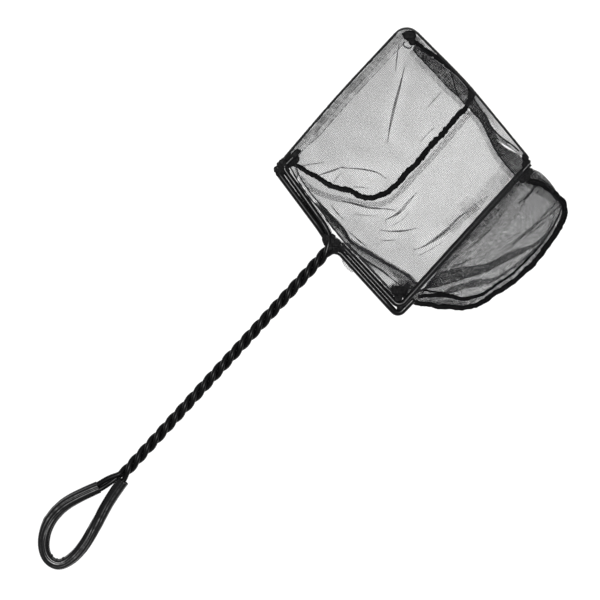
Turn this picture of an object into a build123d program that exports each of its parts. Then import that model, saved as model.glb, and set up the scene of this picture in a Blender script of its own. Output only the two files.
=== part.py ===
from build123d import *
import math
import os

# Aquarium fish net lying mouth up on a table. +X runs from the finger loop along the handle to the hoop,
# +Y to the left of the handle, +Z up. All lengths are millimetres.

# ---- driving dimensions -------------------------------------------------------------------------
STRAND_D = 3.6          # coated wire of the handle
TWIST_R = 2.22          # strand centres to the twist's axis
TWIST_PITCH = 28.4      # one full turn of a strand, left-hand lay
TWIST_X0 = -208.0       # lower end of the twist
TWIST_X1 = -6.0         # upper end of the twist
SWING = -0.27           # the twist's axis, turned about its lower end in the wire plane, degrees
TOP_PHASE = {"a": 90.0, "b": 210.0, "c": 330.0}   # strand angles at the upper end
RAIL_D = 3.6            # side rail of the hoop
HOOP_D = 1.4            # thin spring wire of the hoop's two far sides
TUBE_R = 4.3            # finger grip sleeve, outside
TUBE_BORE_R = 3.75      # finger grip sleeve, inside
TILT = math.degrees(math.atan(0.06))   # the handle rises from the loop to the hoop
PLANE_Z = 0.06 * 288.0 + TUBE_R + 0.02  # height of the wire plane at X = 0
PANEL_T = 0.8           # mesh panels
TAPE_W = 4.0            # bound seams
TAPE_T = 1.4
SHIFT = (72.709, 22.592, 0.0)  # puts the origin under the middle of the whole net

# ---- helpers ------------------------------------------------------------------------------------


def v(p):
    return Vector(*p)


def wide_radii(pts, share=0.45):
    """The widest tangent arc that each corner of a route has room for."""
    out = []
    for i in range(1, len(pts) - 1):
        a, b = v(pts[i]) - v(pts[i - 1]), v(pts[i + 1]) - v(pts[i])
        half = math.radians(a.get_angle(b)) / 2
        out.append(share * min(a.length, b.length) / math.tan(half))
    return out


def route(pts, radii=None):
    pts = [tuple(p) + (0.0,) * (3 - len(p)) for p in pts]
    if len(pts) == 2:
        return Line(pts[0], pts[1])
    wide = wide_radii(pts)
    if radii:
        wide = [min(w, r) if r else w for w, r in zip(wide, radii)]
    return FilletPolyline(*pts, radius=wide)


def across(path, sideways=None):
    """The plane across the start of a route, with its x along sideways if that is given."""
    if sideways is None:
        return Plane(origin=path @ 0, z_dir=path % 0)
    return Plane(origin=path @ 0, x_dir=sideways, z_dir=path % 0)


def rod(pts, r, radii=None):
    path = route(pts, radii)
    return sweep(across(path) * Circle(r), path=path)


def pipe(pts, r_out, r_in, radii=None):
    path = route(pts, radii)
    return sweep(across(path) * (Circle(r_out) - Circle(r_in)), path=path)


swing = Pos(TWIST_X0, 0, 0) * Rot(Z=SWING) * Pos(-TWIST_X0, 0, 0)


def strand(phase_top):
    """One strand of the left-hand twist, about the X axis."""
    length = TWIST_X1 - TWIST_X0
    helix = Helix(pitch=TWIST_PITCH, height=length, radius=TWIST_R, lefthand=True)
    bar = sweep(across(helix) * Circle(STRAND_D / 2), path=helix, is_frenet=True)
    phase_low = phase_top + 360.0 * length / TWIST_PITCH
    lie = Plane(origin=(TWIST_X0, 0, 0), x_dir=(0, 1, 0), z_dir=(1, 0, 0))
    return swing * lie.location * Rot(Z=phase_low) * bar


def strand_end(name, top):
    """(end point, direction leading out of the twist) of a strand."""
    length = TWIST_X1 - TWIST_X0
    phase = math.radians(TOP_PHASE[name] + (0 if top else 360.0 * length / TWIST_PITCH))
    k = TWIST_R * 2 * math.pi / TWIST_PITCH
    way = Vector(1, k * math.sin(phase), -k * math.cos(phase)).normalized()
    end = Vector(TWIST_X1 if top else TWIST_X0, TWIST_R * math.cos(phase), TWIST_R * math.sin(phase))
    end = Vector(TWIST_X0, 0, 0) + (end - Vector(TWIST_X0, 0, 0)).rotate(Axis.Z, SWING)
    way = way.rotate(Axis.Z, SWING)
    return end, way if top else way * -1


def leaving(name, top, first, rest):
    """A route that leaves the twist straight for a first length and then goes on through the points of rest."""
    end, way = strand_end(name, top)
    out = end + way * first
    return [tuple(end), tuple(out)] + rest


def sleeve(pts, radii, r_out, r_in, flange, thick, side):
    """A hem: a round sleeve about a wire with a flat allowance hanging on one side of it."""
    path = route(pts, radii)
    flat = Pos(side * (r_in + flange / 2 + 0.05), 0) * Rectangle(flange, thick)
    face = Circle(r_out) + flat - Circle(r_in)
    return sweep(across(path, (0, 1, 0) if abs((path % 0).X) > 0.7 else (1, 0, 0)) * face, path=path)


def slab(top, low, thick):
    """A thin closed sheet between two edges with the same number of points, in the row's own frame."""
    top, low = [v(p) for p in top], [v(p) for p in low]
    n = len(top)
    normal = (top[-1] - top[0]).cross(low[0] - top[0])
    off = normal.normalized() * (thick / 2)
    up = [[p + off for p in top], [p + off for p in low]]
    dn = [[p - off for p in top], [p - off for p in low]]
    faces = []

    def tri(a, b, c):
        faces.append(Face(Wire.make_polygon([a, b, c], close=True)))

    for i in range(n - 1):
        for s in (up, dn):
            tri(s[0][i], s[0][i + 1], s[1][i])
            tri(s[0][i + 1], s[1][i + 1], s[1][i])
        for row in (0, 1):
            tri(up[row][i], up[row][i + 1], dn[row][i])
            tri(up[row][i + 1], dn[row][i + 1], dn[row][i])
    for i in (0, n - 1):
        tri(up[0][i], up[1][i], dn[0][i])
        tri(up[1][i], dn[1][i], dn[0][i])
    body = Solid(Shell(faces))
    return body if body.volume > 0 else Solid(Shell([-f for f in faces]))


def strip(pts, width, thick, radii=None):
    """A flat tape along a route, its thickness upright."""
    path = route(pts, radii)
    side = Vector(0, 0, 1).cross(path % 0).normalized()
    return sweep(across(path, side) * Rectangle(width, thick), path=path)


lift = Pos(0, 0, PLANE_Z) * Rot(Y=-TILT)   # from the flat wire plane to the tilted one


def plane_z(x):
    return PLANE_Z + x * math.tan(math.radians(TILT))


wire_plane, bag = {}, {}

# ---- handle: three twisted strands, their tails, and the finger loop ---------------------------
R_W = STRAND_D / 2
for name in "abc":
    wire_plane[f"handle_strand_{name}"] = strand(TOP_PHASE[name])

loop_mid = [(-228.45, 4.93, 0.0), (-245.9, 12.83, 0.0), (-259.4, 15.3, 0.0), (-271.3, 13.5, 0.0), (-281.8, 6.8, 0.0),
            (-286.6, -1.3, 0.0), (-284.0, -9.1, 0.0), (-269.6, -12.3, 0.0), (-249.5, -9.6, 0.0), (-228.3, -3.9, 0.1)]
a_end, a_way = strand_end("a", False)
b_end, b_way = strand_end("b", False)
loop_pts = ([tuple(b_end), tuple(b_end + b_way * 5.0), (-219.5, 2.55, -2.3)] + loop_mid
            + [tuple(a_end + a_way * 4.0), tuple(a_end)])
wire_plane["finger_loop_wire"] = rod(loop_pts, R_W)
wire_plane["strand_tail"] = rod(leaving("c", False, 3.6, [(-219.0, 6.1, 1.6), (-227.0, 8.25, 0.15), (-238.25, 13.35, 0.0)]), R_W)
tube_pts = [(-227.7, 6.6, 0.0), (-245.2, 14.5, 0.0), (-259.5, 17.0, 0.0), (-272.4, 14.9, 0.0), (-283.4, 7.6, 0.0),
            (-288.1, -1.5, 0.0), (-285.0, -10.4, 0.0), (-269.8, -13.5, 0.0), (-249.5, -9.9, 0.0), (-228.1, -4.2, 0.4),
            (-214.5, -2.9, 1.9)]
wire_plane["grip_sleeve"] = pipe(tube_pts, TUBE_R, TUBE_BORE_R)

# ---- hoop: heavy wires on the handle side and the right, thin wire on the other two sides ------
wire_plane["left_inner_wire"] = rod(
    leaving("a", True, 5.2, [(4.2, 5.0, 0.9), (6.8, 13.0, 0.0), (16.87, 59.2, 0.0), (30.0, 58.4, 0.0)]), R_W, [None, None, None, 3.6])
wire_plane["left_outer_wire"] = rod(
    leaving("c", True, 3.0, [(0.7, 5.6, -1.5), (3.05, 14.0, 0.0), (11.9, 58.6, 0.0), (14.4, 62.0, 0.0)]), R_W)
wire_plane["right_outer_wire"] = rod(
    leaving("b", True, 4.0, [(0.12, -8.0, 0.1), (-4.41, -56.0, 0.0), (-5.3, -65.4, -2.0), (9.0, -66.0, -2.8)]), R_W, [None, None, None, 4.6])
rail_pts = [(4.61, -4.6, 0.0), (-0.43, -62.6, 0.0), (130.4, -62.6, 0.0)]
wire_plane["right_side_rail"] = rod(rail_pts, RAIL_D / 2, [4.8])
hoop_pts = [(19.0, 62.5, 0.0), (78.0, 64.1, 0.0), (145.2, 63.0, 0.0), (142.6, 8.0, 0.0), (132.6, -59.4, 0.0)]
hoop_radii = [540.0, 9.5, 300.0]
wire_plane["hoop_spring_wire"] = rod(hoop_pts, HOOP_D / 2, hoop_radii)

# ---- hems: folded mesh sleeves that hold the bag on the wires ----------------------------------


def between(p, q, t):
    return tuple(p[i] + (q[i] - p[i]) * t for i in range(3))


left_line = [between(hoop_pts[0], hoop_pts[1], 0.25), hoop_pts[1], between(hoop_pts[1], hoop_pts[2], 0.85)]
far_line = [between(hoop_pts[2], hoop_pts[3], 0.18), hoop_pts[3], between(hoop_pts[3], hoop_pts[4], 0.97)]
wire_plane["left_hem"] = sleeve(left_line, [540.0], 1.15, 0.8, 5.4, 0.8, -1)
wire_plane["far_hem"] = sleeve(far_line, [300.0], 1.15, 0.8, 4.6, 0.8, -1)
wire_plane["right_hem"] = sleeve([(14.0, -62.6, 0.0), (122.0, -62.6, 0.0)], None, 2.35, 1.9, 3.2, 0.9, -1)
near_edge = [(22.4, 52.0), (13.2, 11.0), (11.6, -8.0), (15.4, -23.4), (18.3, -42.6), (19.6, -57.6)]
near_back = [(11.6, -54.0), (10.2, -38.0), (8.2, -18.0), (9.0, -5.0), (10.6, 10.0), (19.4, 52.6)]
near_face = make_face(Polyline(*near_edge, *near_back, close=True))
wire_plane["near_hem"] = Pos(0, 0, -0.4) * extrude(near_face, 0.8)

# bunched ends of the seam tapes, stitched down over the wires at the four corners of the hoop
tacks = [
    Pos(23.6, 55.0, -2.95) * Rot(Z=-8) * Box(9.0, 5.6, 1.8),
    Pos(138.4, 54.6, -2.3) * Rot(Z=40) * Box(8.0, 6.6, 2.6),
    Pos(126.4, -68.5, -1.2) * Rot(Z=-30) * Box(6.4, 5.2, 2.4),
    Pos(8.6, -57.5, -2.8) * Rot(Z=35) * Box(7.6, 3.4, 2.4),
]
wire_plane["corner_tacks"] = Compound(children=tacks)

# ---- bag: two side panels, one centre strip, two bound seams -----------------------------------


def at_plane(x, y, below=0.0):
    return (x, y, plane_z(x) - below)


Q, P, P2, Q2 = (40.0, 4.4), (138.6, -2.6), (122.6, -100.0), (34.6, -99.0)   # corners of the bag's floor
LOW = 2.4
bag["left_panel"] = slab(
    [at_plane(30.0, 53.6, 1.2), at_plane(52.0, 53.3, 1.2), at_plane(92.0, 52.8, 1.2), at_plane(124.0, 52.3, 1.2), at_plane(132.8, 52.2, 1.2)],
    [(44.6, 7.2, LOW), (59.0, 0.2, LOW), (92.6, -1.2, LOW), (129.0, -1.2, LOW), (134.2, 1.2, LOW)], PANEL_T)
bag["right_panel"] = slab(
    [at_plane(10.5, -68.4, 1.2), at_plane(44.0, -68.4, 1.2), at_plane(70.0, -68.4, 1.2), at_plane(96.0, -68.4, 1.2), at_plane(121.0, -68.4, 1.2)],
    [(39.2, -100.4, LOW), (60.5, -106.4, LOW), (83.0, -108.6, LOW), (104.0, -106.4, LOW), (117.2, -101.8, LOW)], PANEL_T)
bag["centre_panel_near_wall"] = slab(
    [at_plane(25.2, 49.0, 1.0), at_plane(15.4, 10.0, 1.0), at_plane(15.0, -10.0, 1.0), at_plane(21.0, -40.0, 1.0), at_plane(22.6, -56.0, 1.0)],
    [(42.6, 1.0, LOW), (41.4, -24.0, LOW), (40.2, -48.0, LOW), (39.0, -72.0, LOW), (38.0, -95.0, LOW)], PANEL_T)
bag["centre_panel_far_wall"] = slab(
    [at_plane(137.8, 46.0, 1.2), at_plane(134.2, -10.0, 1.2), at_plane(127.8, -54.0, 1.2)],
    [(134.4, -7.4, LOW), (127.6, -50.0, LOW), (119.8, -95.6, LOW)], PANEL_T)
floor_face = make_face(Polyline((43.0, 0.2), (57.4, -6.5), (92.5, -7.5), (131.2, -7.3), (135.0, -6.2),
                                (119.8, -97.6), (104.6, -103.8), (83.0, -106.0), (60.8, -103.8), (38.0, -96.8), close=True))
bag["centre_panel_floor"] = extrude(floor_face, PANEL_T)
bag["left_seam_floor"] = Pos(0, 0, TAPE_T / 2) * strip(
    [(41.0, 4.2), (58.0, -3.6), (92.6, -4.7), (131.0, -4.5), (137.0, -2.6)], TAPE_W, TAPE_T)
bag["right_seam_floor"] = Pos(0, 0, TAPE_T / 2) * strip(
    [(36.0, -99.4), (60.0, -106.6), (83.0, -108.8), (105.0, -106.6), (121.4, -100.2)], TAPE_W, TAPE_T)


def riser(top, low, width, thick, side):
    """A seam tape up a corner of the bag, as a thin sheet of its own width."""
    top, low, off = v(top), v(low), v(side).normalized() * (width / 2)
    return slab([tuple(top - off), tuple(top + off)], [tuple(low - off), tuple(low + off)], thick)


bag["left_seam_near_riser"] = riser(at_plane(26.0, 51.0, 4.0), (40.8, 7.6, 2.4), 3.0, 1.0, (1, 0.2, 0))
bag["left_seam_far_riser"] = riser(at_plane(138.4, 47.6, 3.6), (138.0, 1.6, 2.4), 3.0, 1.0, (1, 0.0, 0))
bag["right_seam_far_riser"] = riser(at_plane(125.4, -70.0, 3.4), (121.6, -98.0, 2.4), 3.0, 1.0, (1, 0.1, 0))
bag["right_seam_near_riser"] = riser(at_plane(12.4, -63.0, 4.6), (35.4, -96.4, 2.4), 3.0, 1.0, (1, 0.7, 0))

# ---- write the parts ---------------------------------------------------------------------------
os.makedirs("parts", exist_ok=True)
every = {n: lift * s for n, s in wire_plane.items()}
every.update(bag)
low = [1e9] * 3
high = [-1e9] * 3
for name, shape in every.items():
    placed = Pos(*SHIFT) * shape
    box = placed.bounding_box()
    low = [min(l, c) for l, c in zip(low, (box.min.X, box.min.Y, box.min.Z))]
    high = [max(h, c) for h, c in zip(high, (box.max.X, box.max.Y, box.max.Z))]
    export_step(placed, f"parts/{name}.step")
print("low", [round(c, 3) for c in low], "high", [round(c, 3) for c in high],
      "middle", [round((l + h) / 2, 3) for l, h in zip(low, high)])
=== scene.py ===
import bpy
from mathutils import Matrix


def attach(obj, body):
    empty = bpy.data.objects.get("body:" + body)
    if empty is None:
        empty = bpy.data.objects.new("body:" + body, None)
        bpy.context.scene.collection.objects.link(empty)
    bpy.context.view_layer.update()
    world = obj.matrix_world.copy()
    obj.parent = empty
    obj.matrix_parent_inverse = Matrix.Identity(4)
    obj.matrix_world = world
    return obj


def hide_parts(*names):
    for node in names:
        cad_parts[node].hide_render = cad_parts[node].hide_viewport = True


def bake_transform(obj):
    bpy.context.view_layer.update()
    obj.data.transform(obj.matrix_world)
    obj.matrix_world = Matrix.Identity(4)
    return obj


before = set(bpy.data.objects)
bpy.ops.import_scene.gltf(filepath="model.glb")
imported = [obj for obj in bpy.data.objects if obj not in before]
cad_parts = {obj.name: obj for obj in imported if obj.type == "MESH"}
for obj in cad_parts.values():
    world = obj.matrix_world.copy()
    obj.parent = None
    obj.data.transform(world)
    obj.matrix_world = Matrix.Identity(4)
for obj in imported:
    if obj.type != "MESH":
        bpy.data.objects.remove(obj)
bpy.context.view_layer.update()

import math

import bpy
import numpy as np

# Everything below is worked out in millimetres and written to the meshes in metres.
RNG = np.random.default_rng(11)
PITCH, THREAD = 0.82, 0.117      # the net's mesh: thread to thread, and a thread's half width
SLIM = 0.72                      # cloth drawn tight round the thin wire, its half width
PLANE_Z, TILT = 21.60, math.atan(0.06)
SHIFT_X, SHIFT_Y = 72.709, 22.592
CAM_H, REF_Z, MM_PER_PIXEL = 4000.0, 15.0, 0.676
COS, SIN = 0.671, 0.7415

# ---- places -------------------------------------------------------------------------------------


def plan(x, y):
    x, y = np.asarray(x, float) - 327.0, np.asarray(y, float) - 241.0
    return np.stack([MM_PER_PIXEL * (COS * x - SIN * y) + SHIFT_X, 3.75 - MM_PER_PIXEL * (SIN * x + COS * y) + SHIFT_Y], -1)


MIDDLE = plan(300.0, 300.0)


def seen(points):
    """(across, down, height) rows, the first two as the camera sees them, to points in the frame."""
    p = np.atleast_2d(np.asarray(points, float))
    xy = MIDDLE + (plan(p[:, 0], p[:, 1]) - MIDDLE) * ((CAM_H - p[:, 2:3]) / (CAM_H - REF_Z))
    return np.concatenate([xy, p[:, 2:3]], 1)


def wire_z(x):
    return PLANE_Z + 0.06 * (x - SHIFT_X)


def seen_below(points):
    """As seen(), with the third number the drop below the plane of the hoop."""
    return seen([(x, y, wire_z(plan(x, y)[0]) - b) for x, y, b in points])


def below(points):
    """(x, y, drop) rows in the handle's own axes, the drop measured from the plane of the hoop."""
    return np.array([(x + SHIFT_X, y + SHIFT_Y, PLANE_Z + 0.06 * x - b) for x, y, b in points])


def lifted(points):
    """Points of the flat wire plane, tilted as the handle lies."""
    p = np.asarray(points, float)
    c, s = math.cos(TILT), math.sin(TILT)
    return np.stack([p[:, 0] * c - p[:, 2] * s + SHIFT_X, p[:, 1] + SHIFT_Y, p[:, 0] * s + p[:, 2] * c + PLANE_Z], 1)


# ---- curves and surfaces ------------------------------------------------------------------------


def unit(v):
    return v / np.maximum(np.linalg.norm(v, axis=-1, keepdims=True), 1e-9)


def knots_of(p):
    return np.concatenate([[0.0], np.cumsum(np.maximum(np.linalg.norm(np.diff(p, axis=0), axis=-1), 1e-6))])


def hermite(x, y, m, q):
    i = np.clip(np.searchsorted(x, q, "right") - 1, 0, len(x) - 2)
    h = x[i + 1] - x[i]
    t = (q - x[i]) / h
    shape = (-1,) + (1,) * (y.ndim - 1)
    t, h = t.reshape(shape), h.reshape(shape)
    return ((2 * t**3 - 3 * t**2 + 1) * y[i] + (t**3 - 2 * t**2 + t) * h * m[i]
            + (3 * t**2 - 2 * t**3) * y[i + 1] + (t**3 - t**2) * h * m[i + 1])


def slopes(x, y, limited):
    h = np.diff(x).reshape((-1,) + (1,) * (y.ndim - 1))
    d = np.diff(y, axis=0) / h
    m = np.empty_like(y)
    m[0], m[-1] = d[0], d[-1]
    if limited:  # never swings past its rows
        w1, w2 = 2 * h[1:] + h[:-1], h[1:] + 2 * h[:-1]
        same = d[:-1] * d[1:] > 0
        a, b = np.where(same, d[:-1], 1.0), np.where(same, d[1:], 1.0)
        m[1:-1] = np.where(same, (w1 + w2) / (w1 / a + w2 / b), 0.0)
    else:
        m[1:-1] = (d[:-1] * h[1:] + d[1:] * h[:-1]) / (h[1:] + h[:-1])
    return m


def even_line(p, n):
    x = knots_of(p)
    q = np.linspace(0, x[-1], n)
    return np.stack([np.interp(q, x, p[:, k]) for k in range(3)], 1)


def spline(points, n):
    p = np.asarray(points, float)
    x = knots_of(p)
    q = np.linspace(0, x[-1], max(40 * len(p), 400))
    return even_line(hermite(x, p, slopes(x, p, False), q), n)


def rounded(points, n):
    """A smooth route that starts and ends at its end points and cuts inside the others, like a bent wire's."""
    p = np.asarray(points, float)
    mids = [p[0]] + [(a + b) / 2 for a, b in zip(p[1:-2], p[2:-1])] + [p[-1]]
    t = np.linspace(0, 1, 40)[:, None]
    runs = [(1 - t)**2 * a + 2 * t * (1 - t) * c + t**2 * b for a, c, b in zip(mids[:-1], p[1:-1], mids[1:])]
    return even_line(np.concatenate(runs), n)


def loft(rows, m):
    y = np.stack(rows)
    x = np.concatenate([[0.0], np.cumsum(np.linalg.norm(np.diff(y, axis=0), axis=2).mean(1))])
    return hermite(x, y, slopes(x, y, True), np.linspace(0, x[-1], m))


def coons(top, low, left, right):
    u = np.linspace(0, 1, len(top))[None, :, None]
    v = np.linspace(0, 1, len(left))[:, None, None]
    return ((1 - v) * top[None] + v * low[None] + (1 - u) * left[:, None] + u * right[:, None]
            - ((1 - u) * (1 - v) * top[0] + u * (1 - v) * top[-1] + (1 - u) * v * low[0] + u * v * low[-1]))


def even(s, times=2):
    """Spreads a surface's points evenly along both of its directions, as threads lie in cloth."""
    for _ in range(times):
        s = np.stack([even_line(line, len(line)) for line in s])
        s = np.stack([even_line(line, len(line)) for line in s.transpose(1, 0, 2)]).transpose(1, 0, 2)
    return s


def normals(s):
    n = unit(np.cross(np.gradient(s, axis=0), np.gradient(s, axis=1)))
    return np.where(n[..., 2:3] < 0, -n, n)


def waves(s, size, length, seed):
    """Slow rises and dips over a surface."""
    r = np.random.default_rng(seed)
    z = np.zeros(s.shape[:2])
    for k in range(7):
        a, f, p = r.uniform(0, 2 * math.pi), r.uniform(0.6, 1.7) * 2 * math.pi / length, r.uniform(0, 2 * math.pi)
        z += np.sin(f * (s[..., 0] * math.cos(a) + s[..., 1] * math.sin(a)) + p)
    return size * z / 2.6


def crease(s, points, height, width):
    """Raises a narrow fold along a line that is given as the camera sees it."""
    mid = seen([(x, y, 6.0) for x, y in points])
    line = spline(mid, 36)[:, :2] if len(mid) > 2 else even_line(mid, 24)[:, :2]
    lo, hi = line.min(0) - 4 * width, line.max(0) + 4 * width
    near = ((s[..., :2] > lo) & (s[..., :2] < hi)).all(-1)
    p = s[near][:, :2]
    best, where = np.full(len(p), 1e9), np.zeros(len(p))
    for i in range(len(line) - 1):
        a, d = line[i], line[i + 1] - line[i]
        t = np.clip(((p - a) @ d) / (d @ d), 0, 1)
        gap = np.linalg.norm(p - a - t[:, None] * d, axis=1)
        closer = gap < best
        best[closer], where[closer] = gap[closer], ((i + t) / (len(line) - 1))[closer]
    rise = height * np.exp(-(best / width)**2) * np.sqrt(np.clip(np.sin(math.pi * where), 0, 1))
    z = s[..., 2]
    z[near] = z[near] + rise
    return s


def soft_noise(n, step, seed):
    """n smooth random numbers, about -1 to 1, with a new one every step samples."""
    r = np.random.default_rng(seed).uniform(-1, 1, int(n / step) + 4)
    x = np.arange(n) / step
    i, t = x.astype(int), x % 1
    t = t * t * (3 - 2 * t)
    return r[i] * (1 - t) + r[i + 1] * t


# ---- meshes -------------------------------------------------------------------------------------


class Heap:
    """Faces that are gathered into one piece."""

    def __init__(self):
        self.verts, self.uvs, self.quads, self.tris, self.count = [], [], [], [], 0

    def add(self, verts, quads=None, tris=None, uv=None):
        verts = np.asarray(verts, float).reshape(-1, 3)
        self.verts.append(verts)
        self.uvs.append(np.zeros((len(verts), 2)) if uv is None else np.asarray(uv, float).reshape(-1, 2))
        if quads is not None and len(quads):
            self.quads.append(np.asarray(quads, int).reshape(-1, 4) + self.count)
        if tris is not None and len(tris):
            self.tris.append(np.asarray(tris, int).reshape(-1, 3) + self.count)
        self.count += len(verts)
        return self

    def piece(self, name, material, uv_name=None):
        verts = np.concatenate(self.verts) * 0.001
        quads = np.concatenate(self.quads) if self.quads else np.zeros((0, 4), int)
        tris = np.concatenate(self.tris) if self.tris else np.zeros((0, 3), int)
        used = np.unique(np.concatenate([quads.ravel(), tris.ravel()]))
        renumber = np.zeros(len(verts), int)
        renumber[used] = np.arange(len(used))
        verts, quads, tris, uvs = verts[used], renumber[quads], renumber[tris], np.concatenate(self.uvs)[used]
        me = bpy.data.meshes.new(name)
        me.vertices.add(len(verts))
        me.vertices.foreach_set("co", verts.astype(np.float32).ravel())
        corners = np.concatenate([quads.ravel(), tris.ravel()]).astype(np.int32)
        me.loops.add(len(corners))
        me.loops.foreach_set("vertex_index", corners)
        starts = np.concatenate([np.arange(len(quads)) * 4, len(quads) * 4 + np.arange(len(tris)) * 3]).astype(np.int32)
        me.polygons.add(len(starts))
        me.polygons.foreach_set("loop_start", starts)
        me.polygons.foreach_set("use_smooth", np.ones(len(starts), bool))
        me.update(calc_edges=True)
        if uv_name:
            uv = uvs[corners].astype(np.float32)
            me.uv_layers.new(name=uv_name).uv.foreach_set("vector", uv.ravel())
        me.materials.append(material)
        ob = bpy.data.objects.new(name, me)
        bpy.context.scene.collection.objects.link(ob)
        return ob


def ring_faces(k, rings, sides, closed=False):
    """Quads of k tubes of so many rings, and their end caps."""
    i = np.arange(k)[:, None, None] * rings * sides + np.arange(rings - 1)[None, :, None] * sides
    a, b = np.arange(sides)[None, None], (np.arange(sides) + 1)[None, None] % sides
    quads = np.stack([i + a, i + b, i + sides + b, i + sides + a], -1)
    caps = []
    for j in range(1, sides - 1):
        first = np.arange(k) * rings * sides
        last = first + (rings - 1) * sides
        caps.append(np.stack([first, first + j + 1, first + j], -1))
        caps.append(np.stack([last, last + j, last + j + 1], -1))
    return quads, np.concatenate(caps) if caps else np.zeros((0, 3), int)


def tubes(lines, ups, radius, sides=3, phase=0.5 * math.pi):
    """Tubes along k lines of l points each: vertices and faces."""
    k, l = lines.shape[:2]
    t = unit(np.gradient(lines, axis=1)) if l > 2 else unit(np.repeat(lines[:, 1:] - lines[:, :1], 2, 1))
    b = unit(np.cross(t, ups))
    n = np.cross(b, t)
    angle = phase + np.arange(sides) * 2 * math.pi / sides
    radius = np.broadcast_to(np.asarray(radius, float), (k, l))[..., None, None]
    ring = (np.cos(angle)[:, None] * b[:, :, None] + np.sin(angle)[:, None] * n[:, :, None]) * radius
    verts = lines[:, :, None] + ring
    quads, caps = ring_faces(k, l, sides)
    return verts, quads, caps


def sample(s, a, b):
    """The surface at a by b points."""
    m, n = s.shape[:2]
    u, v = np.linspace(0, m - 1, a), np.linspace(0, n - 1, b)
    i, j = np.minimum(u.astype(int), m - 2), np.minimum(v.astype(int), n - 2)
    fu, fv = (u - i)[:, None, None], (v - j)[None, :, None]
    i, j = i[:, None], j[None]
    return ((1 - fu) * (1 - fv) * s[i, j] + fu * (1 - fv) * s[i + 1, j] + (1 - fu) * fv * s[i, j + 1] + fu * fv * s[i + 1, j + 1])


def net(heap, s, pitch=PITCH, radius=THREAD, hole=None, spread=True, least=2, jitter=0.05, anchor=None):
    """Lays a woven net of threads on a surface: one set down it and one set across it, over and under each other.
    With an anchor, a share of the way down, the threads across keep their spacing from there along every thread down."""
    if spread:
        s = even(s)
    down = np.linalg.norm(np.diff(s, axis=0), axis=2).sum(0).mean()
    over = np.linalg.norm(np.diff(s, axis=1), axis=2).sum(1).mean()
    a, b = max(least, round(down / pitch)), max(least, round(over / pitch))
    if anchor is None:
        c = sample(s, a + 1, b + 1)
        live = np.ones((a + 1, b + 1), bool)
    else:
        cols = sample(s, s.shape[0], b + 1)
        run = np.concatenate([np.zeros((1, b + 1)), np.cumsum(np.linalg.norm(np.diff(cols, axis=0), axis=2), 0)])
        at = anchor * run[-1]
        steps = np.arange(-math.ceil(at.max() / pitch), math.ceil((run[-1] - at).max() / pitch) + 1)
        want = at[None] + steps[:, None] * pitch
        live = (want > 0) & (want < run[-1][None])
        want = np.clip(want, 0, run[-1][None])
        c = np.stack([np.stack([np.interp(want[:, j], run[:, j], cols[:, j, k]) for k in range(3)], 1) for j in range(b + 1)], 1)
        a = len(steps) - 1
    n = normals(c)
    tu, tv = unit(np.gradient(c, axis=0)), unit(np.gradient(c, axis=1))
    shake = RNG.normal(0, jitter, (2, a + 1, b + 1, 1)) * live[..., None]
    shake[:, [0, -1]] = 0
    shake[:, :, [0, -1]] = 0
    weave(heap, c + tu * shake[0] + tv * shake[1], n, radius, live, hole, False)
    return down, over


def weave(heap, c, n, radius, live, hole, both):
    """Threads both ways through a grid of knots, over and under each other, where the knots are live."""
    flip = np.where((np.add.outer(np.arange(c.shape[0]), np.arange(c.shape[1])) % 2) == 0, 1.0, -1.0)[..., None]
    off = radius * 0.55
    for lines, ups, way in (((c + n * flip * off).transpose(1, 0, 2), n.transpose(1, 0, 2), 0), (c - n * flip * off, n, 1)):
        lines[..., 2] = np.maximum(lines[..., 2], radius * 0.6)
        verts, quads, _ = tubes(lines, ups, radius)
        there = live.T if way == 0 else live
        keep = there[:, 1:] & there[:, :-1] if both else there[:, 1:] | there[:, :-1]
        if hole is not None:
            keep &= ~hole((lines[:, 1:] + lines[:, :-1]) / 2)
        k, l = lines.shape[:2]
        edge = np.zeros((k, l + 1), bool)
        edge[:, 1:-1] = keep
        ring = (np.arange(k)[:, None] * l + np.arange(l)[None]) * 3
        first, last = ring[edge[:, 1:] & ~edge[:, :-1]], ring[edge[:, :-1] & ~edge[:, 1:]]
        caps = np.concatenate([np.stack([first, first + 2, first + 1], -1), np.stack([last, last + 1, last + 2], -1)])
        along = np.broadcast_to(np.linspace(0.02, 0.98, l)[None, :, None], (k, l, 3))
        side = np.broadcast_to(((np.arange(k)[:, None, None] + np.array([-0.11, 0.0, 0.11])) / max(k, 1) * 0.94 + 0.03), (k, l, 3))
        uv = np.stack([along, side] if way == 0 else [side, along], -1)
        heap.add(verts, quads[keep], caps, uv)


def grown(mask):
    out = mask.copy()
    out[1:] |= mask[:-1]
    out[:-1] |= mask[1:]
    out[:, 1:] |= mask[:, :-1]
    out[:, :-1] |= mask[:, 1:]
    return out


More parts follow.
